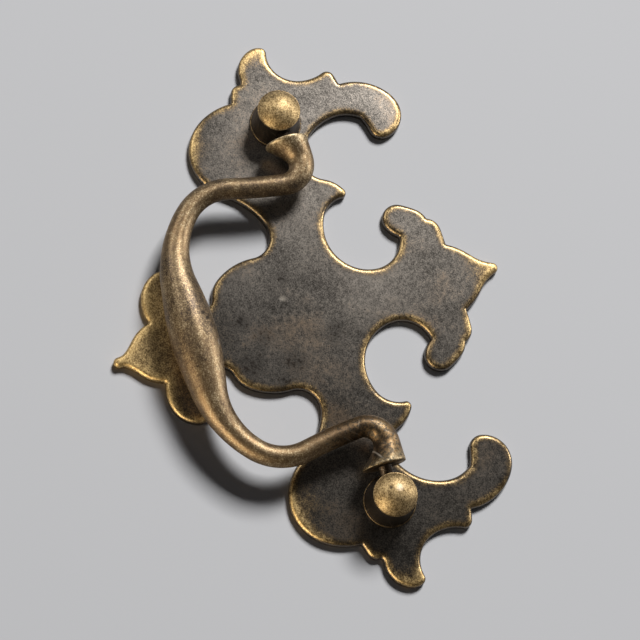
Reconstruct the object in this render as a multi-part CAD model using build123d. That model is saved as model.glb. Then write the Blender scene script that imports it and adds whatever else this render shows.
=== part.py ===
"""A swan-neck bail drawer pull in cast brass: a flat scrolled backplate, two turned
posts with domed heads, and a bail that swings on pins between the posts.

Frame, in millimetres: the plate lies on its back on z = 0, the origin is midway
between the posts on the back, +X runs from post to post, +Y is up in use, and +Z
points out of the drawer front. The bail is modelled where it rests, hanging down
towards -Y against the plate.
"""

import os
from math import asin, cos, degrees, exp, radians

from build123d import *

# Driving dimensions
POST_SPACING = 76.2  # between the two mounting screws, 3 in
PLATE_THICKNESS = 1.8
PLATE_EDGE_ROUND = 0.95  # rounding of the front edge all round the scrollwork
NOTCH_ROUND = 0.3  # the moulder's small radius in each notch of the edge

POST_FOOT_RADIUS = 4.95
POST_FOOT_HEIGHT = 0.5  # the thin rim that sits on the plate
POST_WAIST_RADIUS = 4.7  # just above that rim
POST_NECK_RADIUS = 3.9  # just under the head
POST_HEAD_RADIUS = 4.05
POST_RIM_HEIGHT = 6.8  # from the plate's face to the head's sharp rim
POST_DOME_RISE = 2.1
SPIGOT_RADIUS = 2.9  # the post's end, which stands in the plate's hole
SPIGOT_CLEARANCE = 0.1
SPIGOT_SETBACK = 0.2  # it ends this far short of the plate's back
TAPPED_HOLE_RADIUS = 1.75  # tapping size of a No. 8 screw
TAPPED_HOLE_DEPTH = 4.4

PIN_HEIGHT = 4.9  # from the plate's face to the bail's swing axis
PIN_RADIUS = 1.25
PIN_CLEARANCE = 0.06  # radial, between a pin and its hole in the post
PIN_REACH = 2.3  # how deep a pin stands in its post
PIN_END_PLAY = 0.3

FOOT_GAP = 0.85  # between the bail's foot and the rim of the post
FOOT_RADIUS = 4.15
FOOT_RIM = 0.4  # straight edge of the foot's face
FOOT_FLARE = 3.6  # length over which the elbow opens out into the foot
ELBOW_RADIUS = 2.55  # section radius at the end of the elbow
ARM_RADIUS = 2.05
ARM_INSET = 4.1  # how far the arm runs inboard of the end of the elbow
ARM_LEAN = 1.7  # the arm's lower end stands this much further out than its top
ARM_TOP_DROP = 2.6  # from the swing axis down to where the elbow starts
ARM_LENGTH = 10.4
SHOULDER_WIDTH = 2.8  # the bend from arm to grip: how far in it turns, and how far down
SHOULDER_DROP = 9.0
GRIP_DROP = 27.0  # from the swing axis to the middle of the grip
GRIP_RADIUS = 4.5
GRIP_SWELL = 13.9  # length of the swelling, each way from the middle
GRIP_STRAIGHT = 10.1
GRIP_REST_GAP = 0.25  # the grip rests this far off the plate's face

# Where things stand
POST_X = POST_SPACING / 2
PIN_Z = PLATE_THICKNESS + PIN_HEIGHT
RIM_Z = PLATE_THICKNESS + POST_RIM_HEIGHT
FOOT_X = POST_X - POST_FOOT_RADIUS - FOOT_GAP
GRIP_Z = PLATE_THICKNESS + GRIP_REST_GAP + GRIP_RADIUS
REST_TILT = degrees(asin((PIN_Z - GRIP_Z) / GRIP_DROP))
STATIONS = 5  # sections lofted along each arc of the bail


def at_post(across, up):
    """A point of the plate's edge given from the right-hand post."""
    return (POST_X + across, up)


# The right half of the plate's edge, from the top point round to the bottom one. A
# stretch has a start, a heading there in degrees, and the points where the curve
# changes its bend: every arc leaves along the tangent of the one before. Stretches
# meet in sharp notches, apart from two places where a smooth bridge joins them: the
# plate's middle keeps its shape and its ends keep theirs whatever the post spacing,
# and the two bridges on each side take up the difference.
NOTCH_UNDER_POINT = (6.8, 25.2)
NOTCH_BY_SHOULDER = (12.7, 23.1)
NOTCH_IN_SCROLL = (10.4, 16.8)
WING_CORNER = (20.7, 8.7)
NOTCH_IN_HOOK = at_post(-2.5, 16.6)
NOTCH_OVER_NUB = at_post(5.3, 14.5)
NOTCH_UNDER_HORN = at_post(9.6, -4.5)
NOTCH_UNDER_BEAD = at_post(6.3, -7.2)
NOTCH_OVER_NIB = (5.9, -33.8)
BITE_FLOOR = at_post(-6.7, 3.7)  # where the end of the plate takes over from its middle
COVE_TOP = (19.5, -7.7)  # where the middle takes over again, under the arm
BRIDGED_STARTS = (BITE_FLOOR, COVE_TOP)

EDGE_STRETCHES = [
    # Top point and the ogee below it
    ((0, 33.6), 0, [(1.0, 32.9), (3.5, 29.3), NOTCH_UNDER_POINT]),
    # Small flat shoulder
    (NOTCH_UNDER_POINT, 0, [(10.1, 25.1), NOTCH_BY_SHOULDER]),
    # Upper scroll, curling in to its rounded end
    (NOTCH_BY_SHOULDER, -16, [(15.0, 21.5), (16.6, 18.9), (12.7, 14.85), NOTCH_IN_SCROLL]),
    # Large C-shaped bite beside the body
    (NOTCH_IN_SCROLL, 189, [(5.5, 10.5), (7.5, 5.9), (13.3, 3.1), (17.4, 3.8), WING_CORNER]),
    # Wing tip, down into the C-shaped bite beside the post
    (WING_CORNER, 72, [(22.2, 9.3), (25.2, 6.0)]),
    # The bite's outer side, after a bridge across its floor
    (BITE_FLOOR, 26.3, [at_post(-1.2, 11.0), NOTCH_IN_HOOK]),
    # Hook above the post
    (NOTCH_IN_HOOK, 155, [at_post(-5.6, 17.6), at_post(-7.6, 20.5), at_post(-0.7, 24.5),
                          at_post(1.7, 23.1), NOTCH_OVER_NUB]),
    # Nub, then the horn at the end of the plate
    (NOTCH_OVER_NUB, -13, [at_post(7.3, 14.0), at_post(8.3, 11.9), at_post(7.8, 6.8), at_post(10.6, 3.0),
                           at_post(14.7, 2.4), at_post(16.1, 1.7), at_post(16.2, -0.5),
                           at_post(10.6, -4.2), NOTCH_UNDER_HORN]),
    # Bead under the horn
    (NOTCH_UNDER_HORN, -80, [at_post(8.5, -6.5), NOTCH_UNDER_BEAD]),
    # Round lobe below the post
    (NOTCH_UNDER_BEAD, -92, [at_post(4.5, -13.3), at_post(0.5, -17.0), at_post(-7.5, -17.1), at_post(-11.8, -13.4)]),
    # After a bridge under the arm: cove, body, neck and lower shoulder
    (COVE_TOP, 156.5, [(15.5, -7.8), (13.3, -11.5), (10.9, -19.1), (7.6, -21.2), (5.8, -23.4),
                           (8.0, -25.3), (13.3, -26.2), (14.8, -30.7), (10.9, -34.0), NOTCH_OVER_NIB]),
    # Bottom nib, drawn from its tip
    ((0, -42.05), 0, [(1.0, -41.05), (1.5, -39.6), (3.2, -37.9), NOTCH_OVER_NIB]),
]
NOTCHES = [NOTCH_UNDER_POINT, NOTCH_BY_SHOULDER, NOTCH_IN_SCROLL, WING_CORNER, NOTCH_IN_HOOK,
           NOTCH_OVER_NUB, NOTCH_UNDER_HORN, NOTCH_UNDER_BEAD, NOTCH_OVER_NIB]


def tangent_arcs(start, heading, points):
    """Arcs through the points, each leaving along the tangent of the last."""
    arcs = []
    here = Vector(*start)
    tangent = Vector(1, 0).rotate(Axis.Z, heading)
    for point in points:
        arc = TangentArc(here, Vector(*point), tangent=tangent)
        arcs.append(arc)
        here = arc @ 1
        tangent = arc % 1
    return arcs


def is_notch(vertex):
    """Whether a corner of the outline, left or right, is one of the sharp notches."""
    right_hand = Vector(abs(vertex.X), vertex.Y)
    return any((right_hand - Vector(*notch)).length < NOTCH_ROUND / 10 for notch in NOTCHES)


def bridge(before, after):
    """A smooth curve from the end of one arc to the start of another, as full as an arc."""
    leaving, arriving = before % 1, after % 0
    fullness = 1 / cos(radians(leaving.get_angle(arriving)) / 4) ** 2
    return Spline(before @ 1, after @ 0, tangents=(leaving, arriving), tangent_scalars=(fullness, fullness))


def right_half_of_edge():
    """The stretches of the plate's edge, with a smooth bridge where two don't meet."""
    edge = Curve()
    for start, heading, points in EDGE_STRETCHES:
        arcs = tangent_arcs(start, heading, points)
        if start in BRIDGED_STARTS:
            edge += bridge(last_arc, arcs[0])
        edge += arcs
        last_arc = arcs[-1]
    return edge


def make_backplate():
    """The flat scrolled plate: one casting with a rounded front edge and two holes."""
    right = right_half_of_edge()
    outline = make_face(right + mirror(right, about=Plane.YZ))
    outline = fillet([v for v in outline.vertices() if is_notch(v)], NOTCH_ROUND)
    plate = extrude(outline, PLATE_THICKNESS, dir=(0, 0, 1))
    plate = fillet(plate.edges().group_by(Axis.Z)[-1], PLATE_EDGE_ROUND)
    hole = Cylinder(SPIGOT_RADIUS + SPIGOT_CLEARANCE, 3 * PLATE_THICKNESS)
    for side in (-1, 1):
        plate -= Pos(side * POST_X, 0, 0) * hole
    return plate


def make_post(side):
    """One turned post: spigot, rim, tapering neck and domed head in a single piece."""
    rim_z = PLATE_THICKNESS + POST_FOOT_HEIGHT
    top_z = RIM_Z + POST_DOME_RISE
    profile = Polyline(
        (0, SPIGOT_SETBACK),
        (SPIGOT_RADIUS, SPIGOT_SETBACK),
        (SPIGOT_RADIUS, PLATE_THICKNESS),
        (POST_FOOT_RADIUS, PLATE_THICKNESS),
        (POST_FOOT_RADIUS, rim_z),
        (POST_WAIST_RADIUS, rim_z),
        (POST_NECK_RADIUS, RIM_Z),
        (POST_HEAD_RADIUS, RIM_Z),
    )
    dome = TangentArc((0, top_z), (POST_HEAD_RADIUS, RIM_Z), tangent=(1, 0))
    half = make_face(Plane.XZ * (profile + dome + Line((0, top_z), (0, SPIGOT_SETBACK))))
    post = revolve(half, Axis.Z, 360)

    tapped_hole = Cylinder(TAPPED_HOLE_RADIUS, TAPPED_HOLE_DEPTH, align=(Align.CENTER, Align.CENTER, Align.MIN))
    post -= Pos(0, 0, SPIGOT_SETBACK) * tapped_hole

    depth = PIN_REACH + PIN_END_PLAY
    waist_at_pin = post_radius_at_pin()
    pin_hole = Cylinder(PIN_RADIUS + PIN_CLEARANCE, 2 * depth)
    post -= Pos(-side * waist_at_pin, 0, PIN_Z) * Rot(0, 90, 0) * pin_hole
    return Pos(side * POST_X, 0, 0) * post


def post_radius_at_pin():
    """Radius of the post's taper at the height of the pins."""
    taper_start = POST_FOOT_HEIGHT
    share = (PIN_HEIGHT - taper_start) / (POST_RIM_HEIGHT - taper_start)
    return POST_WAIST_RADIUS + share * (POST_NECK_RADIUS - POST_WAIST_RADIUS)


def bail_path():
    """Right half of the bail's centreline, from the middle of the grip to the elbow's end.

    The bail is drawn flat, with the swing axis on the X axis.
    """
    elbow = (FOOT_X - FOOT_RIM - FOOT_FLARE, FOOT_RADIUS - ELBOW_RADIUS)
    arm_top = (elbow[0] - ARM_INSET, -ARM_TOP_DROP)
    arm_foot = (arm_top[0] + ARM_LEAN, arm_top[1] - ARM_LENGTH)
    shoulder = (arm_foot[0] - SHOULDER_WIDTH, arm_foot[1] - SHOULDER_DROP)
    grip_end = (GRIP_STRAIGHT, -GRIP_DROP - 0.05)
    return tangent_arcs((0, -GRIP_DROP), 0, [grip_end, shoulder, arm_foot, arm_top, elbow])


def bail_sections():
    """Circles along the right half of the bail, from the grip's middle out to the foot."""
    arcs = bail_path()
    lengths = [arc.length for arc in arcs]
    elbow_start = sum(lengths[:-1])
    total = sum(lengths)
    sections = []
    walked = 0
    for arc, length in zip(arcs, lengths):
        for step in range(STATIONS):
            share = step / STATIONS
            along = walked + share * length
            swell = (GRIP_RADIUS - ARM_RADIUS) * exp(-((along / GRIP_SWELL) ** 2))
            elbow_share = max(0, (along - elbow_start) / (total - elbow_start))
            radius = ARM_RADIUS + swell + (ELBOW_RADIUS - ARM_RADIUS) * elbow_share
            sections.append((arc @ share, arc % share, radius))
        walked += length
    # The flare keeps its upper side straight, in line with the rim of the foot
    flare_start = FOOT_X - FOOT_RIM - FOOT_FLARE
    for share in (0, 0.3, 0.55, 0.78, 1):
        radius = ELBOW_RADIUS + (FOOT_RADIUS - ELBOW_RADIUS) * share**1.3
        centre = Vector(flare_start + share * FOOT_FLARE, FOOT_RADIUS - radius)
        sections.append((centre, Vector(1, 0), radius))
    return sections


def make_bail():
    """The bail: grip, arms, elbows, flared feet and pins, cast as one piece."""
    circles = [
        Plane(origin=centre, x_dir=(0, 0, 1), z_dir=tangent) * Circle(radius)
        for centre, tangent, radius in bail_sections()
    ]
    foot = Cylinder(FOOT_RADIUS, FOOT_RIM, align=(Align.CENTER, Align.CENTER, Align.MAX))
    pin_length = POST_FOOT_RADIUS + FOOT_GAP - post_radius_at_pin() + PIN_REACH
    pin = Cylinder(PIN_RADIUS, pin_length, align=(Align.CENTER, Align.CENTER, Align.MIN))
    outward = Pos(FOOT_X, 0, 0) * Rot(0, 90, 0)
    half = loft(circles) + outward * foot + outward * pin
    bail = half + mirror(half, about=Plane.YZ)
    return Pos(0, 0, PIN_Z) * Rot(REST_TILT, 0, 0) * bail


os.makedirs("parts", exist_ok=True)
export_step(make_backplate(), "parts/backplate.step")
export_step(make_post(-1), "parts/post_left.step")
export_step(make_post(1), "parts/post_right.step")
export_step(make_bail(), "parts/bail.step")
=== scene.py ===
# %% [markdown]
# # A swan-neck bail drawer pull in aged brass
#
# The real pull has four pieces: a flat scrolled plate, two domed posts, and a bail that
# hangs on pins between them. The plate and the bail are sand castings, and the posts are
# turned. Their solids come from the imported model, at their real size. This script builds
# each piece again over its solid as a finer mesh, and gives it its finish: dark patina
# where nothing rubs, bare brass where fingers and cloth have worn the edges, and the
# small pits and stains of an old casting.

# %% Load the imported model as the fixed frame
from math import cos, exp, hypot, pi, radians, sin, sqrt

import bmesh
import bpy
import numpy as np
from mathutils import Matrix, Vector, geometry, kdtree, noise


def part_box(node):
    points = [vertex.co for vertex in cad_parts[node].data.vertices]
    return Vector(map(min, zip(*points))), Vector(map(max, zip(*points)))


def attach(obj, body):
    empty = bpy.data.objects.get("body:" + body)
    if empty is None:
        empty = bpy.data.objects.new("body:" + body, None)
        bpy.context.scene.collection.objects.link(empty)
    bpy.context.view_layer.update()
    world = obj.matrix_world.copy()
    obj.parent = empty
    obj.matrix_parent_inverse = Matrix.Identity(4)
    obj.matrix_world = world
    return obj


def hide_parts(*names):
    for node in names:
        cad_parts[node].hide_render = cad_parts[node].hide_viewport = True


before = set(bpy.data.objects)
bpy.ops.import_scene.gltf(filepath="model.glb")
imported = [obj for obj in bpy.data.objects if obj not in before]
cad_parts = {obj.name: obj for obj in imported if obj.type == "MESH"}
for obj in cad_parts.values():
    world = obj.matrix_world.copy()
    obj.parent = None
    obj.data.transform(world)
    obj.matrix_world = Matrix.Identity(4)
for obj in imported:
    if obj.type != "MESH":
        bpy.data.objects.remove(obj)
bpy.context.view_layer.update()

# %% [markdown]
# Blender works in metres here. The pull is drawn in millimetres, as its maker would,
# so one factor turns a size into scene units. Sizes that the solids already know are
# read off them and not typed again.

# %% Units and sizes read from the frame
MM = 0.001
PLATE_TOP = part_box("backplate")[1].z / MM
POST_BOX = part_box("post_right")
POST_X = (POST_BOX[0].x + POST_BOX[1].x) / 2 / MM
print(f"plate {PLATE_TOP:.2f} mm thick, posts {2 * POST_X:.1f} mm apart")

# %% [markdown]
# ## Camera
#
# The photo looks down on the pull from a little to one side. The camera's place and turn
# were found by fitting the plate's outline, so they are plain numbers here.

# %% Camera
CAMERA_PLACE = (80.96, -67.03, 336.91)  # mm
CAMERA_TURN = (15.591, -6.694, 73.601)  # degrees about X, Y and Z
CAMERA_LENS = 105

camera_data = bpy.data.cameras.new("camera")
camera_data.lens = CAMERA_LENS
camera_data.clip_start = 10 * MM
camera = bpy.data.objects.new("camera", camera_data)
camera.location = Vector(CAMERA_PLACE) * MM
camera.rotation_euler = [radians(angle) for angle in CAMERA_TURN]
bpy.context.scene.collection.objects.link(camera)
bpy.context.scene.camera = camera
print("camera", round(camera.location.length / MM), "mm from the origin")

# %% [markdown]
# ## Shader maths
#
# A procedural material is arithmetic on patterns. In the node editor that soon becomes a
# tangle. Written with one small class, the same arithmetic reads as Python: `1 - mask`
# adds a Math node. Any other node comes from `Paint.node`, which takes its type, its
# settings and the values or links of its sockets.

# %% A number that flows between nodes
class Value:
    """A socket, with Python's operators for the number that it holds."""

    def __init__(self, paint, socket):
        self.paint = paint
        self.socket = socket

    def maths(self, operation, *others, swap=False):
        """A Math node of this value and others."""
        terms = [self, *others]
        if swap:
            terms.reverse()
        return self.paint.node("ShaderNodeMath", {"operation": operation}, dict(enumerate(terms)))

    def __add__(self, other):
        return self.maths("ADD", other)

    __radd__ = __add__

    def __mul__(self, other):
        return self.maths("MULTIPLY", other)

    __rmul__ = __mul__

    def __sub__(self, other):
        return self.maths("SUBTRACT", other)

    def __rsub__(self, other):
        return self.maths("SUBTRACT", other, swap=True)

    def step(self, low, high):
        """Smoothly from 0 at low to 1 at high."""
        return self.paint.node(
            "ShaderNodeMapRange",
            {"interpolation_type": "SMOOTHSTEP"},
            {"Value": self, "From Min": low, "From Max": high},
        )

# %% A material and its nodes
class Paint:
    """A material's node tree."""

    def __init__(self, name):
        self.material = bpy.data.materials.new(name)
        self.material.use_nodes = True
        self.tree = self.material.node_tree
        self.tree.nodes.clear()

    def node(self, kind, settings=None, sockets=None, output=0):
        """Adds a node: its settings first, then its sockets' values or links."""
        made = self.tree.nodes.new(kind)
        for name, setting in (settings or {}).items():
            setattr(made, name, setting)
        for name, value in (sockets or {}).items():
            if isinstance(value, Value):
                self.tree.links.new(value.socket, made.inputs[name])
            else:
                made.inputs[name].default_value = value
        return Value(self, made.outputs[output]) if made.outputs else None

    def mix(self, factor, a, b):
        """Colour a where factor is 0, colour b where it is 1."""
        return self.node("ShaderNodeMix", {"data_type": "RGBA"}, {0: factor, 6: a, 7: b}, output=2)

    def vector(self, operation, a, b, output="Vector"):
        """A Vector Math node. Its output is "Value" where the result is a number."""
        return self.node("ShaderNodeVectorMath", {"operation": operation}, {0: a, 1: b}, output)


def linear(red, green, blue):
    """A colour as a screen shows it, 0 to 255, turned into the linear light of a shader."""
    def channel(c):
        c /= 255
        return c / 12.92 if c <= 0.04045 else ((c + 0.055) / 1.055) ** 2.4
    return (channel(red), channel(green), channel(blue), 1)


print("a screen grey of 128 is", round(linear(128, 128, 128)[0], 3), "in linear light")

# %% [markdown]
# Patterns are laid out in the object's own millimetres, so a fleck of 0.8 is 0.8 mm wide
# on the real thing, and a mark sits at a place that can be measured. That needs no
# unwrapping. An image wrapped round the piece could do the same, but blurs close up.

# %% Patterns on the object
HAIRLINE_WIDTH = 0.16  # mm
HAIRLINE_LENGTH = 5
FROM_ABOVE = (1, 1, 0)  # keeps X and Y, drops the height


def place_on(paint, stretch=(1, 1, 1)):
    """The point on the object, in millimetres, stretched along each axis."""
    point = paint.node("ShaderNodeTexCoord", output="Object")
    return paint.vector("MULTIPLY", point, [s / MM for s in stretch])


def lumps(paint, size, place=None, detail=2.0, roughness=0.5):
    """Cloudy noise from 0 to 1, with lumps of about this size in millimetres."""
    place = place or place_on(paint)
    return paint.node(
        "ShaderNodeTexNoise",
        {},
        {"Vector": place, "Scale": 1 / size, "Detail": detail, "Roughness": roughness},
        output="Fac",
    )


def hairlines(paint, turn):
    """Fine broken lines that run at this angle, in radians, seen from above."""
    turned = paint.node(
        "ShaderNodeVectorRotate",
        {"rotation_type": "Z_AXIS"},
        {"Vector": place_on(paint), "Angle": turn},
    )
    squeeze = (1 / HAIRLINE_LENGTH, 1 / HAIRLINE_WIDTH, 1 / HAIRLINE_LENGTH)
    return lumps(paint, 1, place=paint.vector("MULTIPLY", turned, squeeze), detail=1).step(0.66, 0.74)


def stored(paint, name):
    """A number that the mesh stores at each of its points."""
    return paint.node("ShaderNodeAttribute", {"attribute_name": name}, output="Fac")


def spot(paint, x, y, radius):
    """1 at a place given in millimetres, fading to 0 at this radius, seen from above."""
    away = paint.vector("DISTANCE", place_on(paint, FROM_ABOVE), (x, y, 0), output="Value")
    return 1 - away.step(0, radius)


def spots(paint, places):
    """The sum of the spots at these places, each an x, a y and a radius."""
    return sum(spot(paint, *place) for place in places)


def scratch(paint, start, end, width):
    """1 along a straight line between two places, seen from above."""
    (x, y), (x_end, y_end) = start, end
    length = hypot(x_end - x, y_end - y)
    along = ((x_end - x) / length, (y_end - y) / length, 0)
    across = (-along[1], along[0], 0)
    offset = paint.vector("SUBTRACT", place_on(paint, FROM_ABOVE), (x, y, 0))
    reach = paint.vector("DOT_PRODUCT", offset, along, output="Value")
    aside = paint.vector("DOT_PRODUCT", offset, across, output="Value")
    ends = reach.step(0, length / 3) * (1 - reach.step(length * 2 / 3, length))
    return (1 - aside.maths("ABSOLUTE").step(0, width)) * ends

# %% [markdown]
# ## Aged brass
#
# New brass is yellow. Left alone it turns grey-brown. The makers of such pulls speed this
# up with a dark bath, and then relieve it: they rub the high places back to bright metal.
# So one recipe serves every piece: a dark patina, bare brass, and a mask that says where
# it was rubbed. Nothing on old metal is even, and four sizes of cloudy noise bring that
# in: the grain that the sand mould leaves, flecks, blotches, and wide clouds.

# %% Four sizes of unevenness
GRAIN_SIZE = 0.26  # mm
FLECK_SIZE = 0.8
BLOTCH_SIZE = 4.5
CLOUD_SIZE = 15
MIDDLE = 0.5  # noise swings about this value


def unevenness(paint):
    """Grain, fleck, blotch and cloud, from fine to wide."""
    grain = lumps(paint, GRAIN_SIZE, detail=2, roughness=0.6)
    fleck = lumps(paint, FLECK_SIZE, detail=3, roughness=0.65)
    blotch = lumps(paint, BLOTCH_SIZE, detail=4, roughness=0.6)
    cloud = lumps(paint, CLOUD_SIZE, detail=2)
    return grain, fleck, blotch, cloud


print("noise sizes in mm:", GRAIN_SIZE, FLECK_SIZE, BLOTCH_SIZE, CLOUD_SIZE)

# %% [markdown]
# The patina is mottled between a dark and a light grey-brown. Its tone is lighter where fading or
# painted light lifts it, and darker where shade is painted in. In places it turns to warm brown.
# One flat colour would look painted, so the tone follows all four sizes of noise.

# %% Patina
BROWN = linear(132, 102, 67)


def patina(paint, uneven, shades, fading_and_painted_light, browned):
    """The dark skin, mottled between two shades and brown in places."""
    grain, fleck, blotch, cloud = uneven
    # Each factor says how much that size of noise counts
    # The shift adds fading, painted light and painted shade to the tone
    tone = (grain * 0.9 + fleck * 0.35 + blotch * 0.4 + cloud * 0.2 + fading_and_painted_light).step(0.65, 1.35)
    brown = (grain * 0.4 + fleck * 0.4 + blotch * 0.5 + cloud - 1.15 + browned).step(-0.3, 0.5)
    return paint.mix(brown, paint.mix(tone, *shades), BROWN)

# %% [markdown]
# Rubbing takes the patina off the tops of the casting's grain first. So the border of a
# bare place is speckled and not a clean line, and round it lies a halo of thin brown
# skin. A plain mask with a soft edge would look sprayed. Here noise is added to the mask
# before its edge is drawn, which breaks the border up as real wear does.

# %% Rubbed places
HALO = linear(92, 73, 48)
HALO_DEPTH = 0.75


def rub_bare(paint, uneven, colour, brass, rubbed, speckled):
    """The colour with bare metal where it was rubbed, and a mask of that metal."""
    grain, fleck, blotch, _ = uneven
    relief = (grain - MIDDLE) * 0.8 + (fleck - MIDDLE) * 0.5 + (blotch - MIDDLE) * 0.5
    worn = rubbed + relief * speckled
    bare = worn.step(0.1, 1.05)
    colour = paint.mix(worn.step(-0.05, 0.45) * HALO_DEPTH, colour, HALO)
    metal = paint.mix((grain + fleck * 0.5).step(0.5, 0.95), *brass)
    return paint.mix(bare, colour, metal), bare

# %% [markdown]
# A sand casting has small round pits where gas was trapped, and dirt sits in them. They come from a
# Voronoi pattern, whose distance is 0 at the middle of each cell. Stains are dirt too, but wider and
# with ragged edges, at the places where this pull has them. The same dark colour paints shade over the
# bail's pins and right elbow, where it also stands for dark patina.

# %% Pits, stains and painted shade
PIT_SPACING = 1.1  # mm
DIRT_AND_SHADE_COLOUR = linear(30, 26, 23)
PIT_DARKNESS = 0.7
STAIN_AND_SHADE_DARKNESS = 0.85


def casting_pits(paint, uneven, pitted):
    """1 in each pit. They come in groups, and more of them as pitted grows."""
    _, fleck, blotch, _ = uneven
    cells = paint.node(
        "ShaderNodeTexVoronoi",
        {},
        {"Vector": place_on(paint), "Scale": 1 / PIT_SPACING},
        output="Distance",
    )
    return (1 - cells.step(0.08, 0.2)) * (fleck + blotch - MIDDLE + pitted).step(0.5, 0.66)


def soiled_and_shaded(uneven, stains_and_shade):
    """How dark the soiling and the painted shade lie, ragged at the border of each stain."""
    grain, fleck, _, _ = uneven
    dirt_and_shade = stains_and_shade * 0.5 + (fleck - MIDDLE) * 3 + (grain - MIDDLE) * 1.5
    return dirt_and_shade.step(0.3, 0.8) * stains_and_shade.step(0, 0.2) * STAIN_AND_SHADE_DARKNESS

# %% [markdown]
# Knocks and scratches cut through the skin and show pale metal. Two sets of hairlines cross each other
# faintly, as cleaning leaves them, and a few deeper marks stand at their own places. They share the
# bump with the grain, so they also catch the light. The plate's dent is painted pale, both as scraped
# metal and as a painted highlight in its hollow, and the right dome has a pale spot.

# %% The whole recipe
SCRAPED_AND_GLINT = linear(180, 170, 156)
HAIRLINE_TURNS = (0.5, 2.2)  # radians
BUMP_STRENGTH = 0.33
BUMP_HEIGHT = 0.04  # mm
PATINA_METALLIC = 0.93  # the skin is a thin oxide, so it is a little less metal


def aged_brass(
    name, shades, brass, roughness, rubbed, marks, browned=0.0, pitted=0.0, speckled=1.0
):
    """Patina over brass.

    shades and brass are each a darkest and a lightest colour, roughness is that of the patina and of
    the bare brass, rubbed(paint) is the mask of where it was rubbed bare, and marks(paint) gives four
    masks: the tone's shift from fading and from painted light and shade, stain marks with painted
    shade, knocks with pale spots, and scratches. browned says how far the patina turns brown, pitted
    how many casting pits it has, and speckled how much the rubbing follows the grain.
    """
    paint = Paint(name)
    uneven = unevenness(paint)
    grain, fleck, blotch, cloud = uneven
    fading_and_painted_light, stains_and_shade, dents_and_pale_spots, scratches = marks(paint)
    pits = casting_pits(paint, uneven, pitted)
    cleaned = sum(hairlines(paint, turn) for turn in HAIRLINE_TURNS)
    cleaned = cleaned * (cloud + fleck - MIDDLE).step(0.2, 0.9)

    colour = patina(paint, uneven, shades, fading_and_painted_light, browned)
    colour, bare = rub_bare(paint, uneven, colour, brass, rubbed(paint), speckled)
    # Stain marks darken the colour, and with them the painted shade on the bail's pins and right elbow
    colour = paint.mix(soiled_and_shaded(uneven, stains_and_shade), colour, DIRT_AND_SHADE_COLOUR)
    colour = paint.mix(pits * PIT_DARKNESS, colour, DIRT_AND_SHADE_COLOUR)
    # Knocks, pale spots, hairlines and scratches turn pale; in the plate's dent that pale is partly a
    # painted highlight
    for mark, strength in ((dents_and_pale_spots, 0.5), (cleaned, 0.2), (scratches, 0.8)):
        colour = paint.mix(mark * strength, colour, SCRAPED_AND_GLINT)

    height = grain * 0.4 + fleck * 0.6 + blotch * 1.2 - pits * 0.5 - dents_and_pale_spots * 1.2 - scratches
    bump = paint.node(
        "ShaderNodeBump",
        {},
        {"Strength": BUMP_STRENGTH, "Distance": BUMP_HEIGHT * MM, "Height": height},
    )
    of_patina, of_brass = roughness
    surface = paint.node(
        "ShaderNodeBsdfPrincipled",
        {},
        {
            "Base Color": colour,
            "Metallic": PATINA_METALLIC + bare * (1 - PATINA_METALLIC),
            "Roughness": of_patina + bare * (of_brass - of_patina) + (fleck - MIDDLE) * 0.12,
            "Normal": bump,
        },
    )
    paint.node("ShaderNodeOutputMaterial", {}, {"Surface": surface})
    print(f"{name}: {len(paint.tree.nodes)} nodes")
    return paint.material

# %% [markdown]
# ## From points and faces to a piece
#
# Each piece is a list of points and faces worked out in millimetres. It then rides on its
# body, stands for its plain solid and says which finish it has. A mesh has to be one
# closed skin with every face turned outwards, or it prints and renders wrongly. Faces
# that are worked out easily come out inside out, so all are turned at the end and the
# edges where the skin is open are counted.

# %% Make a piece
JOIN_DISTANCE = 0.001  # mm
SHARP_ANGLE = 50  # degrees, an edge bent more than this stays sharp


def face_outwards(mesh):
    """Turns every face outwards, joins points that coincide and says if the skin is closed."""
    shape = bmesh.new()
    shape.from_mesh(mesh)
    bmesh.ops.remove_doubles(shape, verts=shape.verts, dist=JOIN_DISTANCE * MM)
    bmesh.ops.recalc_face_normals(shape, faces=shape.faces)
    gaps = sum(len(edge.link_faces) != 2 for edge in shape.edges)
    shape.to_mesh(mesh)
    shape.free()
    mesh.shade_smooth()
    mesh.set_sharp_from_angle(angle=radians(SHARP_ANGLE))
    print(f"{mesh.name}: {gaps} edges that don't join two faces")


def make_piece(name, points, faces, material, stands_for, body, numbers):
    """A mesh piece. numbers is a dict of values stored at each point for its material."""
    mesh = bpy.data.meshes.new(name)
    mesh.from_pydata([Vector(p) * MM for p in points], [], faces)
    for key, values in numbers.items():
        mesh.attributes.new(key, "FLOAT", "POINT").data.foreach_set("value", values)
    mesh.materials.append(material)
    mesh.validate()
    face_outwards(mesh)
    piece = bpy.data.objects.new(name, mesh)
    bpy.context.scene.collection.objects.link(piece)
    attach(piece, body)
    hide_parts(stands_for)
    print(f"{name}: {len(mesh.vertices)} points, {len(mesh.polygons)} faces")
    return piece

# %% [markdown]
# Turned posts, the bail and the plate's wall are all rings of points, each joined to the
# next by a band of four-sided faces.

# %% Rings and bands
def smooth_step(low, high, value):
    """Smoothly from 0 at low to 1 at high, as Value.step does in a shader."""
    share = min(1, max(0, (value - low) / (high - low)))
    return share * share * (3 - 2 * share)


def rings_of(count, sides):
    """The point numbers of so many rings that follow each other."""
    return [range(ring * sides, (ring + 1) * sides) for ring in range(count)]


def band(here, there):
    """Faces that join two closed rings, each given by its point numbers."""
    count = len(here)
    return [
        (here[i], here[(i + 1) % count], there[(i + 1) % count], there[i]) for i in range(count)
    ]


print("a band between two triangles:", band(*rings_of(2, 3)))

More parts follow.
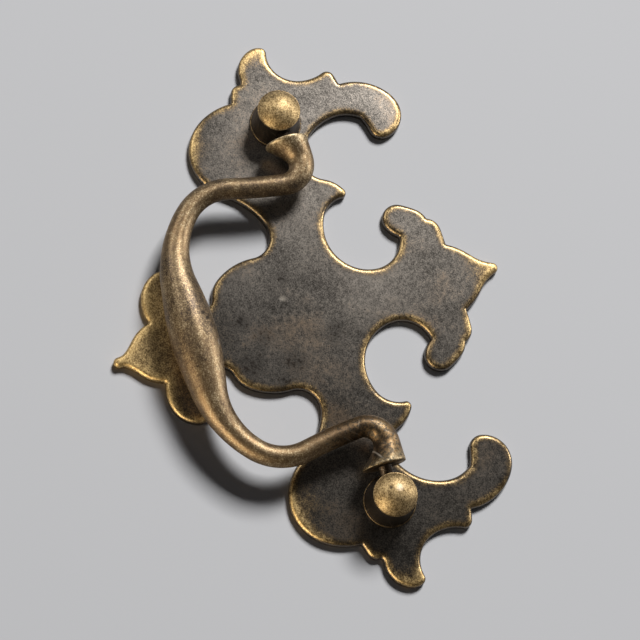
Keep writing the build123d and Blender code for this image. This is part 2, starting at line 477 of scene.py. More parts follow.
# %% [markdown]
# ## The plate
#
# The real plate is a flat casting, not quite 2 mm thick, with a scrolled edge that is
# rounded in front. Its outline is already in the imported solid, so it isn't typed in
# again: the rim of the solid's flat back is that outline. The solid's mesh follows it in
# short chords, and a smooth curve through the same points gives back its arcs.

# %% Read the outline off the back of the solid
EDGE_SPACING = 0.3  # mm


def rims_of_back(node):
    """Closed loops of points, in millimetres, round the flat back of a node."""
    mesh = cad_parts[node].data
    keys = [tuple(round(c / MM, 3) for c in v.co) for v in mesh.vertices]
    sides = {}
    for face in mesh.polygons:
        corners = [keys[i] for i in face.vertices]
        if all(abs(c[2]) < 0.001 for c in corners):
            for a, b in zip(corners, corners[1:] + corners[:1]):
                sides[a, b] = True
    # A side that no other face shares lies on a rim
    following = {a: b for a, b in sides if (b, a) not in sides}
    loops = []
    while following:
        here = next(iter(following))
        loop = []
        while here in following:
            loop.append(here[:2])
            here = following.pop(here)
        loops.append(np.array(loop))
    return sorted(loops, key=len, reverse=True)


def smooth_loop(points, spacing):
    """A closed curve through the points, with even spacing along it."""
    before, here = np.roll(points, 1, 0), points
    after, later = np.roll(points, -1, 0), np.roll(points, -2, 0)
    chord = np.linalg.norm(after - here, axis=1)[:, None]
    chord_before, chord_after = np.roll(chord, 1, 0), np.roll(chord, -1, 0)
    # Tangents that respect uneven chords, one at each end of every chord
    start = (here - before) / chord_before - (after - before) / (chord_before + chord)
    start = (start + (after - here) / chord) * chord
    end = (after - here) / chord - (later - here) / (chord + chord_after)
    end = (end + (later - after) / chord_after) * chord
    out = []
    for i, length in enumerate(chord[:, 0]):
        count = max(1, round(length / spacing))
        for t in np.arange(count) / count:
            out.append(
                (2 * t**3 - 3 * t**2 + 1) * here[i] + (t**3 - 2 * t**2 + t) * start[i]
                + (3 * t**2 - 2 * t**3) * after[i] + (t**3 - t**2) * end[i]
            )
    return np.array(out)


back_rims = rims_of_back("backplate")
outline = smooth_loop(back_rims[0], EDGE_SPACING)
print(f"outline: {len(back_rims[0])} chords became {len(outline)} points, {len(back_rims) - 1} holes")

# %% [markdown]
# Much of what follows asks how far a point lies from the plate's edge: the rounding, the
# wear and the net of points all depend on it. A k-d tree finds the nearest point of the
# outline quickly, and the two chords beside it give the distance exactly.

# %% Distances from the outline
outline_tree = kdtree.KDTree(len(outline))
for i, (x, y) in enumerate(outline):
    outline_tree.insert((x, y, 0), i)
outline_tree.balance()
low, high = outline.min(0), outline.max(0)

following_x, following_y = np.roll(outline, -1, 0).T
turning = np.sign(np.sum(outline[:, 0] * following_y - outline[:, 1] * following_x))
ahead = np.roll(outline, -1, 0) - np.roll(outline, 1, 0)
ahead /= np.linalg.norm(ahead, axis=1)[:, None]
inward = np.column_stack((-ahead[:, 1], ahead[:, 0])) * turning


def inset_of(x, y):
    """How far a point lies inside the outline, negative outside it."""
    _, nearest, _ = outline_tree.find((x, y, 0))
    reaches = []
    for j in (nearest - 1, nearest):
        a, b = outline[j], outline[(j + 1) % len(outline)]
        side = b - a
        share = min(1, max(0, np.dot((x, y) - a, side) / np.dot(side, side)))
        foot = a + share * side
        reaches.append(hypot(x - foot[0], y - foot[1]))
    inside = np.dot((x, y) - outline[nearest], inward[nearest]) > 0
    return min(reaches) if inside else -min(reaches)


print(f"the plate's middle lies {inset_of(0, 0):.1f} mm inside its outline")

# %% [markdown]
# The front edge is rounded, so the height of the face depends only on the distance from
# the outline. A bevel modifier could round it, but runs into itself in tight notches.
# Instead points are set in rings along the edge, close together where the rounding
# bends, and in a plain grid over the flat. A Delaunay net will join them.

# %% Points on the front of the plate
ROUNDING = 0.95  # mm, radius of the rounded front edge
RING_INSETS = (0.035, 0.11, 0.22, 0.36, 0.52, 0.7, 0.92, 1.25, 1.7)
RING_CROWDING = 0.02  # a ring's point this much too near another stretch of edge is left out
GRID_PITCH = 0.75
GRID_MARGIN = 0.3  # between the grid and the innermost ring, or a hole
HOLE_RADIUS = 3.0

face_points = []
face_insets = []
for inset in RING_INSETS:
    for point, normal in zip(outline, inward):
        x, y = point + inset * normal
        true_inset = inset_of(x, y)
        if true_inset > inset - RING_CROWDING:
            face_points.append((x, y))
            face_insets.append(true_inset)
for x in np.arange(low[0], high[0], GRID_PITCH):
    for y in np.arange(low[1], high[1], GRID_PITCH):
        true_inset = inset_of(x, y)
        off_hole = hypot(abs(x) - POST_X, y) > HOLE_RADIUS + GRID_MARGIN
        if true_inset > RING_INSETS[-1] + GRID_MARGIN and off_hole:
            face_points.append((x, y))
            face_insets.append(true_inset)
print(f"{len(face_points)} points inside the outline")

# %% [markdown]
# Rubbing takes most metal where an edge sticks out: points and scroll ends lose their
# patina far in from the edge, and the inside of a bite keeps it. A point's exposure
# says this in one number: the share of a small disc round it that lies off the plate.

# %% Exposure of each point
EXPOSURE_REACH = 2.4  # mm
RASTER_PITCH = 0.3


def exposure_map():
    """A raster of exposures over the plate, and its lowest corner."""
    margin = EXPOSURE_REACH + 2 * RASTER_PITCH
    start = low - margin
    columns, rows = (np.ceil((high - low + 2 * margin) / RASTER_PITCH)).astype(int)
    solid = np.zeros((columns, rows))
    for i in range(columns):
        for j in range(rows):
            x, y = start + RASTER_PITCH * np.array((i, j))
            solid[i, j] = inset_of(x, y) > 0
    reach = int(EXPOSURE_REACH / RASTER_PITCH)
    total = np.zeros_like(solid)
    weight = 0
    for i in range(-reach, reach + 1):
        for j in range(-reach, reach + 1):
            share = max(0, 1 - (hypot(i, j) / reach) ** 2)
            total += share * np.roll(solid, (i, j), (0, 1))
            weight += share
    return 1 - total / weight, start


exposure_raster, raster_start = exposure_map()


def exposure_at(points):
    """Exposure of each point, read between the raster's cells."""
    where = (np.asarray(points) - raster_start) / RASTER_PITCH
    cell = where.astype(int)
    i, j = cell[:, 0], cell[:, 1]
    u, v = (where - cell).T
    r = exposure_raster
    return (
        r[i, j] * (1 - u) * (1 - v) + r[i + 1, j] * u * (1 - v)
        + r[i, j + 1] * (1 - u) * v + r[i + 1, j + 1] * u * v
    )


edge_exposure = exposure_at(outline)
print(f"exposure from {edge_exposure.min():.2f} in the bites to {edge_exposure.max():.2f} at the tips")

# %% [markdown]
# A Delaunay net joins loose points with the roundest triangles it can, and keeps the
# outline's own chords as edges. Triangles over the two holes for the posts are left out.

# %% A net over the plate
HOLE_SIDES = 48
INSIDE_OUTERMOST = 1  # the kind of net that stops at the first loop
NET_TOLERANCE = 1e-7


def hole_rings():
    """Corners of the two holes for the posts."""
    turns = np.arange(HOLE_SIDES) * 2 * pi / HOLE_SIDES
    ring = HOLE_RADIUS * np.column_stack((np.cos(turns), np.sin(turns)))
    return [ring - (POST_X, 0), ring + (POST_X, 0)]


def net(loops, loose):
    """Delaunay triangles inside the first loop and outside the holes."""
    points = [tuple(p) for loop in loops for p in loop] + [tuple(p) for p in loose]
    edges = []
    first = 0
    for loop in loops:
        count = len(loop)
        edges += [(first + i, first + (i + 1) % count) for i in range(count)]
        first += count
    points_out, _, faces, _, _, _ = geometry.delaunay_2d_cdt(
        [Vector(p) for p in points], edges, [], INSIDE_OUTERMOST, NET_TOLERANCE
    )
    assert len(points_out) == len(points)
    kept = []
    for face in faces:
        x, y = np.mean([points_out[i][:2] for i in face], axis=0)
        if hypot(abs(x) - POST_X, y) > HOLE_RADIUS * cos(pi / HOLE_SIDES):
            kept.append(list(face))
    return kept

# %% [markdown]
# The plate is built from the front to the back: the face, rings of wall below it, a tiny
# bevel and the flat back. A casting's skin is never quite flat, so the face sinks a few
# hundredths of a millimetre in soft hollows, which bend its reflections a little. They
# only go inwards, so the mesh never leaves the solid. Each point also stores its
# exposure and how near it is to the rubbed rim.

# %% Build the plate
WALL_STEPS = (0.62, 0.34, 0.1)  # heights on the wall below the rounding
BACK_BEVEL = 0.08
FAR_INSIDE = 3.0  # the holes' edges count as this far from the outline
RIM_RISE = (-0.05, 0.45)  # mm from the edge, where the lip turns down and keeps some skin
RIM_FADE = (0.7, 2.4)  # mm from the edge, bare out to here and then fading inwards
WALL_WEAR = 0.1
WALL_WEAR_FROM = 0.3  # height on the wall below which nothing rubs
WIDE_HOLLOWS = (6, 0.02)  # width and depth in mm
SMALL_HOLLOWS = (2, 0.012)
SMALL_HOLLOWS_LEVEL = 9  # takes them from another layer of the noise


def face_height(inset):
    """Height of the front of the plate at this distance from its edge."""
    drop = max(0, ROUNDING - inset)
    return PLATE_TOP - ROUNDING + sqrt(ROUNDING**2 - drop**2)


def ripple(x, y):
    """The casting's faint hollows, never above the true face."""
    sink = 0
    for (width, depth), level in ((WIDE_HOLLOWS, 0), (SMALL_HOLLOWS, SMALL_HOLLOWS_LEVEL)):
        sink += depth * (noise.noise(Vector((x / width, y / width, level))) - 1)
    return sink


def rim_wear(inset):
    """1 on the rubbed rim, at this distance from the edge."""
    return smooth_step(*RIM_RISE, inset) * (1 - smooth_step(*RIM_FADE, inset))


def build_plate(material):
    """The whole plate, with its wear stored at each point."""
    holes = hole_rings()
    count = len(outline)
    flat = [*outline, *holes[0], *holes[1], *face_points]
    insets = [0.0] * count + [FAR_INSIDE] * (2 * HOLE_SIDES) + face_insets
    points = []
    for (x, y), inset in zip(flat, insets):
        sink = ripple(x, y) * min(1, inset / ROUNDING)
        points.append((x, y, face_height(inset) + sink))
    exposure = list(exposure_at(flat))
    rim = [rim_wear(inset) for inset in insets]
    faces = net([outline, *holes], face_points)

    above = range(count)
    for z in WALL_STEPS:
        below = range(len(points), len(points) + count)
        points += [(x, y, z) for x, y in outline]
        exposure += [0.0] * count
        rim += [WALL_WEAR * smooth_step(WALL_WEAR_FROM, PLATE_TOP - ROUNDING, z)] * count
        faces += band(below, above)
        above = below
    back_ring = outline + BACK_BEVEL * inward
    back_points = [*back_ring, *holes[0], *holes[1]]
    first = len(points)
    points += [(x, y, 0) for x, y in back_points]
    exposure += [0.0] * len(back_points)
    rim += [0.0] * len(back_points)
    faces += band(range(first, first + count), above)
    faces += [[first + i for i in reversed(face)] for face in net([back_ring, *holes], [])]
    for start in (count, count + HOLE_SIDES):
        top = range(start, start + HOLE_SIDES)
        faces += band(top, [first + i for i in top])
    return make_piece(
        "backplate_casting", points, faces, material, "backplate", "plate_and_posts",
        {"exposure": exposure, "rim": rim},
    )

# %% [markdown]
# The wear of the real plate tells how it was used. The whole rim shines, in patches, and most where it
# sticks out. A few corners of it, which cloth and fingers reach first, are rubbed far in. The lower
# point is the barest, because the bail knocks on it and the hand takes hold there. The face stays
# dark. Broad patches make it lighter towards the top of the picture, near the key, and darker towards
# the bottom: partly fading patina, partly painted light and shade that steepen the key's falloff. It
# has a few stains round its middle and a small dent. Each place is an x, a y and a radius in
# millimetres.

# %% Finish of the plate
LOWER_POINT = (0, -39, 25)
RUBBED_CORNERS = [
    (35.5, -18, 10), (-37.6, -17.5, 7), (0, 32.5, 8), (54, -1, 6), (-54, -1, 6), (-9.5, -32, 9),
    (14.5, -21.5, 6),
]
# Partly fading patina, partly painted light and shade: lighter towards the top of the picture, near
# the key, darker towards the bottom
FADING_AND_PAINTED_LIGHT = [  # the fourth number says how much lighter, or with a minus how much darker
    (-26, -4, 26, 0.14), (-9, -17, 9, 0.12), (-1, 9, 13, 0.14), (50, -2, 12, -0.12),
    (19, -4, 10, -0.06),
]
STAINS = [
    (-7.8, -7.6, 2.2), (2.3, -13.8, 3), (8.4, -9.6, 3.6), (7.1, -17.5, 4), (4.9, -0.7, 3.2),
    (12, -12.5, 3), (-1.5, -17, 2.6), (43, -4.5, 3.4),
]
# The dent's pale centre is scraped metal and partly a painted highlight
DENT = (-4.1, -8.3, 0.9)
RIM_PATCHES = 7  # mm
PLATE_PATINA = (linear(54, 51, 47), linear(128, 121, 113))
PLATE_BRASS = (linear(128, 103, 65), linear(198, 171, 120))


def rubbed_plate(paint):
    """Bare along the rim, and most where the rim sticks out."""
    exposure = stored(paint, "exposure")
    patchy = lumps(paint, RIM_PATCHES, detail=1).step(0.3, 0.65) * 0.45 + 0.65
    along_rim = stored(paint, "rim") * (exposure * 1.1 + 0.32) * patchy
    at_tips = exposure.step(0.5, 0.95) * 0.15
    handled = spot(paint, *LOWER_POINT) * 0.75
    corners = spots(paint, RUBBED_CORNERS) * 0.45
    return along_rim + at_tips + handled + corners - 0.12


def plate_marks(paint):
    """Where the plate's tone shifts with fading and with painted light and shade, where it stained and
    where it was dented. It has no deep scratch.
    """
    fading_and_painted_light = sum(spot(paint, x, y, radius) * amount for x, y, radius, amount in FADING_AND_PAINTED_LIGHT)
    return fading_and_painted_light, spots(paint, STAINS), spot(paint, *DENT), 0.0


plate_brass = aged_brass(
    "plate_brass", PLATE_PATINA, PLATE_BRASS, (0.31, 0.5), rubbed_plate, plate_marks, browned=-0.3
)
build_plate(plate_brass)

# %% [markdown]
# ## Posts
#
# A real post is turned in one piece on a lathe, so its mesh is a profile spun about its
# axis. It sits on a thin rim and tapers to a domed head. A spigot below centres it in
# the plate, with a tapped hole for the screw that comes through the drawer front. Every
# turned corner is broken by a hair's breadth, because a perfectly sharp edge never
# catches the light.

# %% The profile of a post
SPIGOT_RADIUS = 2.9  # mm
SPIGOT_CHAMFER = 0.15
SPIGOT_BOTTOM = POST_BOX[0].z / MM
POST_FOOT_RADIUS = 4.95
FOOT_TOP = PLATE_TOP + 0.5
SOLE_BREAK = 0.05  # where the foot meets the plate
EDGE_BREAKS = (0.04, 0.12)  # how far the foot's upper corner is turned off, in two steps
WAIST_RADIUS = 4.7
NECK_RADIUS = 3.9
NECK_ENDS = (0.1, 0.05)  # how far the taper stops short of the foot and of the head
NECK_FILLET = (0.03, 0.02)  # outwards and upwards, where the neck meets the foot
NECK_RINGS = 16
HEAD_RADIUS = 4.05
HEAD_BOTTOM = 8.6
HEAD_TOP = POST_BOX[1].z / MM
HEAD_LIP = 0.02
HEAD_EDGE = 0.14  # height of the rounded lower corner of the head
HEAD_EDGE_DEPTH = 0.06
DOME_RINGS = 18


def post_radius(z):
    """Radius of the tapering neck at a height."""
    share = (z - FOOT_TOP) / (HEAD_BOTTOM - FOOT_TOP)
    return WAIST_RADIUS + share * (NECK_RADIUS - WAIST_RADIUS)


def post_profile():
    """Radius and height of the outside, from the spigot's bottom up to the dome's top."""
    fine, wide = EDGE_BREAKS
    out, up = NECK_FILLET
    neck_start, neck_end = FOOT_TOP + NECK_ENDS[0], HEAD_BOTTOM - NECK_ENDS[1]
    profile = [
        (SPIGOT_RADIUS - SPIGOT_CHAMFER, SPIGOT_BOTTOM),
        (SPIGOT_RADIUS, SPIGOT_BOTTOM + SPIGOT_CHAMFER),
        (SPIGOT_RADIUS, PLATE_TOP),
        (POST_FOOT_RADIUS - fine, PLATE_TOP),
        (POST_FOOT_RADIUS, PLATE_TOP + SOLE_BREAK),
        (POST_FOOT_RADIUS, FOOT_TOP - wide),
        (POST_FOOT_RADIUS - fine, FOOT_TOP - fine),
        (POST_FOOT_RADIUS - wide, FOOT_TOP),
        (post_radius(neck_start) + out, FOOT_TOP + up),
    ]
    profile += [(post_radius(z), z) for z in np.linspace(neck_start, neck_end, NECK_RINGS)]
    profile += [(NECK_RADIUS, HEAD_BOTTOM), (HEAD_RADIUS - HEAD_LIP, HEAD_BOTTOM)]
    for share in (0, 0.375, 1):
        radius = HEAD_RADIUS - HEAD_EDGE_DEPTH * (1 - share) ** 2
        profile.append((radius, HEAD_BOTTOM + HEAD_LIP + HEAD_EDGE * share))
    # The dome is a cap of a sphere, which starts just above that corner
    rise = HEAD_TOP - HEAD_BOTTOM
    sphere = (HEAD_RADIUS**2 + rise**2) / (2 * rise)
    widest = np.arcsin(HEAD_RADIUS / sphere)
    for tilt in np.linspace(widest * 0.95, 0.02, DOME_RINGS):
        profile.append((sphere * np.sin(tilt), HEAD_TOP - sphere * (1 - np.cos(tilt))))
    return profile


print(f"a post stands {HEAD_TOP - PLATE_TOP:.1f} mm above the plate, in {len(post_profile())} rings")

# %% [markdown]
# The tapped hole takes a No. 8 screw, with 32 threads to the inch. A screw thread could
# be swept along a helix, but the wall of the hole is there already: each of its points
# moves outwards by a wave that climbs one pitch in every turn.

# %% Spin a post and cut its thread
POST_SIDES = 96
TAP_RADIUS = 1.75  # mm
TAP_DEPTH = 4.4
TAP_RINGS = 40
THREAD_DEPTH = 0.3
THREAD_PITCH = 25.4 / 32
THREAD_RUNOUT = 0.3  # the last bit of the hole, where the thread ends


def spin(profile, sides):
    """Points and faces of a profile spun about the Z axis, with its last ring closed."""
    turns = np.arange(sides) * 2 * pi / sides
    points = [(r * cos(t), r * sin(t), z) for r, z in profile for t in turns]
    rings = rings_of(len(profile), sides)
    faces = []
    for here, there in zip(rings, rings[1:]):
        faces += band(here, there)
    return points, [*faces, list(rings[-1])]


def threaded(point):
    """A point on the tapped hole's wall, moved out into the thread."""
    x, y, z = point
    turn = np.arctan2(y, x) / (2 * pi)
    wave = abs(((z / THREAD_PITCH - turn) % 1) * 2 - 1)
    fade = smooth_step(0, THREAD_RUNOUT, SPIGOT_BOTTOM + TAP_DEPTH - z)
    grown = 1 + THREAD_DEPTH * wave * fade / TAP_RADIUS
    return x * grown, y * grown, z

# %% [markdown]
# The hole for the bail's pin is bored into the neck from the side. A boolean cut does
# what a drill does, and the exact solver leaves a clean edge. The result is kept as a
# plain mesh, so no modifier is left to be worked out later.

# %% Build the posts
PIN_Z = 6.7  # mm, height of the bail's swing axis
PIN_HOLE_RADIUS = 1.31
PIN_HOLE_REACH = 2.6
DRILL_STICKS_OUT = 2  # past the neck, so that the cut goes right through its skin
FOOT_EDGE = 0.13  # width of the worn corner of the foot
FOOT_WEAR = 0.5
HEAD_WEAR = (-0.3, 0.5)  # heights from the head's bottom between which the wear sets in


def drill_pin_hole(post, side):
    """Bores the hole for the bail's pin, facing the middle of the pull."""
    depth = PIN_HOLE_REACH + DRILL_STICKS_OUT
    drill_mesh = bpy.data.meshes.new("drill")
    drill_shape = bmesh.new()
    bmesh.ops.create_cone(
        drill_shape, cap_ends=True, segments=HOLE_SIDES, radius1=PIN_HOLE_RADIUS * MM,
        radius2=PIN_HOLE_RADIUS * MM, depth=depth * MM,
    )
    drill_shape.to_mesh(drill_mesh)
    drill_shape.free()
    drill_mesh.materials.append(post.data.materials[0])
    drill = bpy.data.objects.new("drill", drill_mesh)
    middle = Vector((side * (POST_X - post_radius(PIN_Z) + PIN_HOLE_REACH - depth / 2), 0, PIN_Z))
    drill.matrix_world = Matrix.Translation(middle * MM) @ Matrix.Rotation(pi / 2, 4, "Y")
    bpy.context.scene.collection.objects.link(drill)
    cut = post.modifiers.new("pin hole", "BOOLEAN")
    cut.object = drill
    cut.operation = "DIFFERENCE"
    cut.solver = "EXACT"
    bored = bpy.data.meshes.new_from_object(post.evaluated_get(bpy.context.evaluated_depsgraph_get()))
    post.modifiers.clear()
    post.data = bored
    face_outwards(bored)
    bpy.data.objects.remove(drill)


def build_post(name, node, side, material):
    """A post at side -1 or 1. The tapped hole comes first, from its end to its mouth."""
    bore = []
    for step in range(TAP_RINGS + 1):
        bore.append((TAP_RADIUS, SPIGOT_BOTTOM + TAP_DEPTH * (1 - step / TAP_RINGS)))
    points, faces = spin(bore + post_profile(), POST_SIDES)
    for index in range(len(bore) * POST_SIDES):
        points[index] = threaded(points[index])
    faces.append(list(reversed(range(POST_SIDES))))
    rim = []
    for x, y, z in points:
        if hypot(x, y) > POST_FOOT_RADIUS - FOOT_EDGE and z > PLATE_TOP + 0.1:
            rim.append(FOOT_WEAR)
        else:
            rim.append(smooth_step(*HEAD_WEAR, z - HEAD_BOTTOM))
    post = make_piece(
        name, [(x + side * POST_X, y, z) for x, y, z in points], faces, material, node,
        "plate_and_posts", {"rim": rim},
    )
    drill_pin_hole(post, side)
    return post

# %% [markdown]
# Hands polish the domed heads to bright brass, and the corner of the foot a little. The neck, under
# the head, keeps the darkest patina of all, made darker still to paint the shade that falls there. The
# right dome has a pit, and a pale spot beside it.

# %% Finish of the posts
DOME_PIT = (36.75, -0.65, 0.7)
DOME_PALE_SPOT = (37.3, 0.8, 1)
# The dark shade lies on the neck under the head: dark patina, made darker to paint the shade there
POST_PATINA_AND_SHADE = (linear(35, 31, 28), linear(76, 66, 55))
POST_BRASS = (linear(100, 80, 49), linear(180, 156, 114))


def rubbed_post(paint):
    """Bare on the head; the neck, where nothing rubs, keeps its patina."""
    return stored(paint, "rim") * 0.95 - 0.15


def post_marks(paint):
    """The pit and a pale spot in the right dome. No fading or painted light, and nothing is scratched.
    """
    return 0.0, spot(paint, *DOME_PIT) * 2, spot(paint, *DOME_PALE_SPOT), 0.0


post_brass = aged_brass(
    "post_brass", POST_PATINA_AND_SHADE, POST_BRASS, (0.45, 0.57), rubbed_post, post_marks,
    browned=-0.4, pitted=0.1,
)
for name, node, side in (
    ("post_left_turned", "post_left", -1),
    ("post_right_turned", "post_right", 1),
):
    post = build_post(name, node, side, post_brass)
    print(f"{name}: {len(post.data.vertices)} points, with a pin hole and a thread")

# %% [markdown]
# ## Bail
#
# The bail is one casting: a swelling grip, shoulders, arms and two goosenecks whose feet
# carry the pins. A curve object with a bevel could draw it, but its section can't flare
# on one side only, as the feet do. So it is worked out as rings of points, drawn flat,
# along a chain of arcs that each start in the direction in which the last one ended.

# %% Sizes of the bail
PIN_RADIUS = 1.25  # mm
PIN_REACH = 2.3
FOOT_GAP = 0.85
FOOT_RADIUS = 4.15
FOOT_RIM = 0.4
FOOT_FLARE = 3.6
FOOT_X = POST_X - POST_FOOT_RADIUS - FOOT_GAP
FLARE_X = FOOT_X - FOOT_RIM - FOOT_FLARE
ELBOW_RADIUS = 2.55
ARM_RADIUS = 2.05
ARM_INSET = 4.1  # how far the arm runs inboard of the end of the elbow
ARM_LEAN = 1.7
ARM_TOP_DROP = 2.6
ARM_LENGTH = 10.4
SHOULDER_WIDTH = 2.8
SHOULDER_DROP = 9.0
GRIP_DROP = 27.0  # from the swing axis to the middle of the grip
GRIP_STRAIGHT = 10.1
GRIP_SAG = 0.05
GRIP_RADIUS = 4.5
GRIP_SWELL = 13.9
GRIP_REST_GAP = 0.25
GRIP_Z = PLATE_TOP + GRIP_REST_GAP + GRIP_RADIUS
REST_TILT = np.arcsin((PIN_Z - GRIP_Z) / GRIP_DROP)


class Arc:
    """An arc in the plane, from a start and heading to an end. Points are complex."""

    def __init__(self, start, heading, end):
        self.start = start
        self.heading = heading
        self.chord = abs(end - start)
        self.bend = np.angle((end - start) / np.exp(1j * heading))
        self.length = self.chord * self.bend / np.sin(self.bend)
        self.end_heading = heading + 2 * self.bend

    def at(self, share):
        """The point and heading at a share of the arc's length."""
        reach = self.chord * np.sin(self.bend * share) / np.sin(self.bend)
        point = self.start + reach * np.exp(1j * (self.heading + self.bend * share))
        return point, self.heading + 2 * self.bend * share


def bail_arcs():
    """The right half of the centreline, from the middle of the grip to the elbow's end."""
    elbow = complex(FLARE_X, FOOT_RADIUS - ELBOW_RADIUS)
    arm_top = complex(elbow.real - ARM_INSET, -ARM_TOP_DROP)
    arm_foot = arm_top + complex(ARM_LEAN, -ARM_LENGTH)
    shoulder = arm_foot - complex(SHOULDER_WIDTH, SHOULDER_DROP)
    grip_end = complex(GRIP_STRAIGHT, -GRIP_DROP - GRIP_SAG)
    here, heading = complex(0, -GRIP_DROP), 0
    arcs = []
    for end in (grip_end, shoulder, arm_foot, arm_top, elbow):
        arcs.append(Arc(here, heading, end))
        here, heading = end, arcs[-1].end_heading
    return arcs


half_length = sum(arc.length for arc in bail_arcs())
print(f"from the grip's middle to an elbow's end: {half_length:.1f} mm along the bail")

# %% [markdown]
# Each ring has a centre, a heading, a radius and its wear. The radius swells at the grip
# by a bell curve, as a turned pattern would, and grows again along the elbow. The pins
# carry a wear of -1, by which the finish later knows them.

# %% Rings along the bail
RING_PITCH = 0.35  # mm
FLARE_RINGS = 12
FLARE_CURVE = 1.3
FOOT_CORNERS = ((0.12, 0, 1), (0.04, 0.04, 1), (0, 0.12, 0.8))  # back, inset and wear
PIN_ROOT = 0.12  # the small fillet where a pin leaves its foot
PIN_CHAMFER = 0.15
PIN_WEAR = -1.0


def bail_rings():
    """Centre, heading, radius and wear of each ring of the right half."""
    rings = []
    arcs = bail_arcs()
    elbow_start = half_length - arcs[-1].length
    walked = 0
    for arc in arcs:
        count = round(arc.length / RING_PITCH)
        for step in range(count):
            along = walked + arc.length * step / count
            swell = (GRIP_RADIUS - ARM_RADIUS) * exp(-((along / GRIP_SWELL) ** 2))
            elbow_share = max(0, (along - elbow_start) / arcs[-1].length)
            radius = ARM_RADIUS + swell + (ELBOW_RADIUS - ARM_RADIUS) * elbow_share
            rings.append((*arc.at(step / count), radius, 0.0))
        walked += arc.length
    # The flare keeps its upper side straight, in line with the rim of the foot
    for share in np.linspace(0, 1, FLARE_RINGS):
        radius = ELBOW_RADIUS + (FOOT_RADIUS - ELBOW_RADIUS) * share**FLARE_CURVE
        centre = complex(FLARE_X + share * FOOT_FLARE, FOOT_RADIUS - radius)
        rings.append((centre, 0, radius, share**3))
    for back, inset, wear in FOOT_CORNERS:
        rings.append((complex(FOOT_X - back, 0), 0, FOOT_RADIUS - inset, wear))
    pin_end = POST_X - post_radius(PIN_Z) + PIN_REACH
    for x, radius in (
        (FOOT_X, PIN_RADIUS + PIN_ROOT), (FOOT_X + PIN_ROOT, PIN_RADIUS),
        (pin_end - PIN_CHAMFER, PIN_RADIUS), (pin_end, PIN_RADIUS - PIN_CHAMFER),
    ):
        rings.append((complex(x, 0), 0, radius, PIN_WEAR))
    return rings


right_rings = bail_rings()
print(f"{len(right_rings)} rings for each half of the bail")

# %% [markdown]
# The rings become points, the left half mirrors the right one, and the flat drawing is
# tilted about the swing axis until the grip lies just off the plate. Here too the skin
# sinks in faint hollows and never rises, so the bail stays clear of what it passes.

# %% Build the bail
BAIL_SIDES = 72
BAIL_HOLLOWS = (9, 0.012)  # width in mm, and depth as a share of the radius
HOLLOW_TURN = 2.2  # lets the hollows differ round the bar
BAIL_RIPPLES = (1.6, 0.02)  # width and depth in mm


def hollow(point, turn, radius):
    """How far a cast surface sinks below its true form, always inwards."""
    width, share = BAIL_HOLLOWS
    ripple_width, ripple_depth = BAIL_RIPPLES
    x, y, _ = point
    along = noise.noise(Vector((x / width, y / width, HOLLOW_TURN * cos(turn)))) - 1
    return radius * share * along + ripple_depth * (noise.noise(Vector(point) / ripple_width) - 1)


def build_bail(material):
    """The whole bail, tilted to its place at rest."""
    tilt = Matrix.Translation((0, 0, PIN_Z)) @ Matrix.Rotation(REST_TILT, 4, "X")
    rings = [(-1, ring) for ring in reversed(right_rings[1:])] + [(1, ring) for ring in right_rings]
    points, rubbed = [], []
    for mirror, (centre, heading, radius, wear) in rings:
        middle = Vector((mirror * centre.real, centre.imag, 0))
        for side in range(BAIL_SIDES):
            turn = 2 * pi * side / BAIL_SIDES
            level = radius * cos(turn)
            x = centre.real - level * np.sin(heading)
            y = centre.imag + level * np.cos(heading)
            point = Vector((mirror * x, y, radius * sin(turn)))
            sink = hollow(point, turn, radius) / radius
            points.append(tilt @ (middle + (point - middle) * (1 + sink)))
            rubbed.append(wear)
    numbers = rings_of(len(rings), BAIL_SIDES)
    faces = []
    for here, there in zip(numbers, numbers[1:]):
        faces += [(a, d, c, b) for a, b, c, d in band(here, there)]
    faces += [list(numbers[0]), list(reversed(numbers[-1]))]
    return make_piece(
        "bail_casting", points, faces, material, "bail", "bail", {"rim": rubbed}
    )

# %% [markdown]
# Fingers rub the whole bail, so bare specks and dark grain lie mixed all over it, and the wear follows
# the grain more than on the plate. The rims of the feet are the barest. The pins turn in their holes,
# out of reach, in the gap between foot and post, and are painted dark there: painted shade, with dark
# patina. So is the right elbow, which lies furthest from the key: painted shade, with its old patina
# kept. The grip has two pits, and there are three scratches.

# %% Finish of the bail
BAIL_CLOUDS = 7  # mm
BAIL_SCRATCHES = [  # start, end and width
    ((28.4, -1.8), (31.6, -0.5), 0.25), ((-29.3, -2.6), (-28.0, -1.8), 0.2),
    ((1.6, -23.0), (3.5, -23.3), 0.15),
]
GRIP_PITS = [(-3.1, -24.6, 0.7), (-2.0, -24.1, 0.6)]
# The right elbow, furthest from the key: painted shade, with its old patina kept
SHADED_DARK_ELBOW = (28, -2, 12)
BAIL_PATINA = (linear(56, 47, 39), linear(154, 138, 118))
BAIL_BRASS = (linear(110, 90, 61), linear(180, 163, 132))


def rubbed_bail(paint):
    """Speckled all over, as it is handled, and barest round the feet."""
    return 0.3 + (lumps(paint, BAIL_CLOUDS) - MIDDLE) * 0.4 + stored(paint, "rim") * 0.5


def bail_marks(paint):
    """Pits on the grip, the scratches, and painted shade with dark patina on the pins and the right
    elbow.
    """
    scratches = sum(scratch(paint, *mark) for mark in BAIL_SCRATCHES)
    # The pins, in the gap between foot and post: painted shade, with dark patina
    pins = 1 - stored(paint, "rim").step(PIN_WEAR, -0.3)
    # The right elbow: painted shade, with its old patina kept, both in the tone and in the dark stain
    # colour
    kept = spot(paint, *SHADED_DARK_ELBOW)
    return kept * -0.25, spots(paint, GRIP_PITS) * 2 + pins * 4 + kept * 1.5, 0.0, scratches


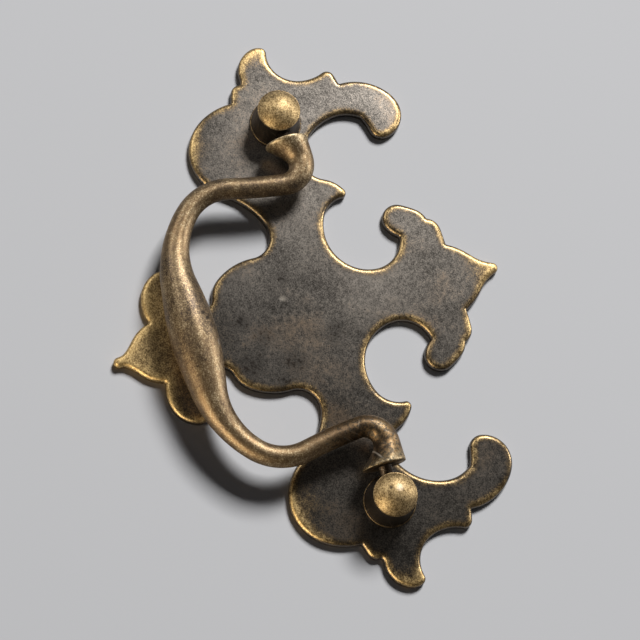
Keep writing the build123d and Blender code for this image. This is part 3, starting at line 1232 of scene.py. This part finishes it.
bail_brass = aged_brass(
    "bail_brass", BAIL_PATINA, BAIL_BRASS, (0.45, 0.53), rubbed_bail, bail_marks,
    pitted=0.05, speckled=1.8,
)
build_bail(bail_brass)

# %% [markdown]
# ## Floor and light
#
# Metal shows what it mirrors, so the lamps' places matter more than their strength. The
# key is a soft panel high up beyond the upper right of the picture, and its reflection
# makes the flat face shine more at the top than at the bottom. A panel at the right
# draws a line of light along the grip, one at the upper left finds the bend of the bail,
# and a warm one low on the left gives the rims their gold.
#
# So near, they would burn out the floor beneath them. Light linking keeps them off it:
# the floor has one far lamp of its own, in the key's direction and of the same apparent
# size, so it is evenly pale and its shadows are the key's.

# %% Floor
FLOOR_HALF = 1500  # mm
FLOOR_COLOUR = (0.55, 0.55, 0.56, 1)

floor_mesh = bpy.data.meshes.new("floor")
corners = [(-1, -1), (1, -1), (1, 1), (-1, 1)]
floor_mesh.from_pydata([Vector((x, y, 0)) * FLOOR_HALF * MM for x, y in corners], [], [(0, 1, 2, 3)])
floor = bpy.data.objects.new("floor", floor_mesh)
bpy.context.scene.collection.objects.link(floor)
floor_paint = Paint("floor")
floor_surface = floor_paint.node(
    "ShaderNodeBsdfPrincipled",
    {},
    {"Base Color": FLOOR_COLOUR, "Roughness": 1.0, "Specular IOR Level": 0.0},
)
floor_paint.node("ShaderNodeOutputMaterial", {}, {"Surface": floor_surface})
floor_mesh.materials.append(floor_paint.material)
print(f"floor {2 * FLOOR_HALF / 1000:.0f} m square")

# %% Lights
KEY_PLACE = Vector((-225, 198, 300))  # mm
KEY_SIZE = 115
KEY_POWER = 2.4  # watts
FARTHER = 6  # times the key's distance, for the floor's own lamp
WARM = (1, 0.88, 0.68)
SKY_COLOUR = (0.9, 0.93, 1, 1)
SKY_STRENGTH = 0.04


def panel(name, place, size, power, colour=(1, 1, 1)):
    """A soft square light at a place in millimetres, turned towards the pull."""
    data = bpy.data.lights.new(name, "AREA")
    data.color = colour
    data.size = size * MM
    data.energy = power
    light = bpy.data.objects.new(name, data)
    light.location = Vector(place) * MM
    light.rotation_euler = (-Vector(place)).to_track_quat("-Z", "Y").to_euler()
    bpy.context.scene.collection.objects.link(light)
    return light


def towards(across, up, height):
    """A place given in the picture's own right and up, and height above the floor."""
    turn = camera.matrix_world.to_3x3()
    level = Vector((0, 0, 0))
    for axis, amount in (((1, 0, 0), across), ((0, 1, 0), up)):
        aim = turn @ Vector(axis)
        level += Vector((aim.x, aim.y, 0)).normalized() * amount
    return (level.x, level.y, height)


bpy.context.view_layer.update()
floor_lights = [panel("floor light", KEY_PLACE * FARTHER, KEY_SIZE * FARTHER, KEY_POWER * FARTHER**2)]
pull_lights = [
    panel("key", KEY_PLACE, KEY_SIZE, KEY_POWER),
    panel("right", towards(380, 110, 120), 100, 1.0),
    panel("upper left", towards(-290, 270, 320), 220, 1.0),
    panel("low left", towards(-317, -275, 154), 240, 1.9, WARM),
]
for lights, state in ((floor_lights, "INCLUDE"), (pull_lights, "EXCLUDE")):
    lit = bpy.data.collections.new(f"floor {state.lower()}d")
    lit.objects.link(floor)
    lit.collection_objects[0].light_linking.link_state = state
    for light in lights:
        light.light_linking.receiver_collection = lit

world = bpy.data.worlds.new("world")
bpy.context.scene.world = world
world.use_nodes = True
sky = world.node_tree.nodes["Background"].inputs
sky["Color"].default_value = SKY_COLOUR
sky["Strength"].default_value = SKY_STRENGTH
bpy.context.scene.view_settings.view_transform = "Standard"
print(f"{len(pull_lights)} lamps on the pull, {len(floor_lights)} on the floor")
